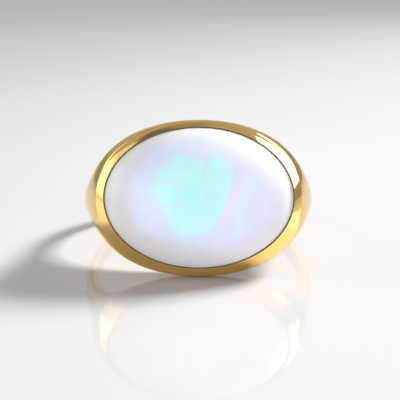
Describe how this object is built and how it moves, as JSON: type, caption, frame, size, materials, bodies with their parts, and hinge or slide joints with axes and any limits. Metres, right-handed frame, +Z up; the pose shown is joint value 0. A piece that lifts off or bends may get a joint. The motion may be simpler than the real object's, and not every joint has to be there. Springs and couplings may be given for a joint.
{
  "type": "oval cabochon ring",
  "caption": "Signet-style gold ring: thin plain shank, short shoulders, oval head and an east-west oval cabochon held by a smooth folded rim.",
  "frame": {"origin": "on the surface the ring rests on, under the middle of its bounding box", "axes": "+Z up; X along the stone's length; the stone faces -Y and tips up by the resting tilt; the back of the shank is at +Y"},
  "size_m": [0.021, 0.024, 0.0124],
  "materials": {
    "gold": "polished yellow gold with faint wear",
    "stone": "polished milky moonstone"
  },
  "bodies": {
    "root": {"ring_body": "gold", "cabochon": "stone"}
  },
  "joints": []
}
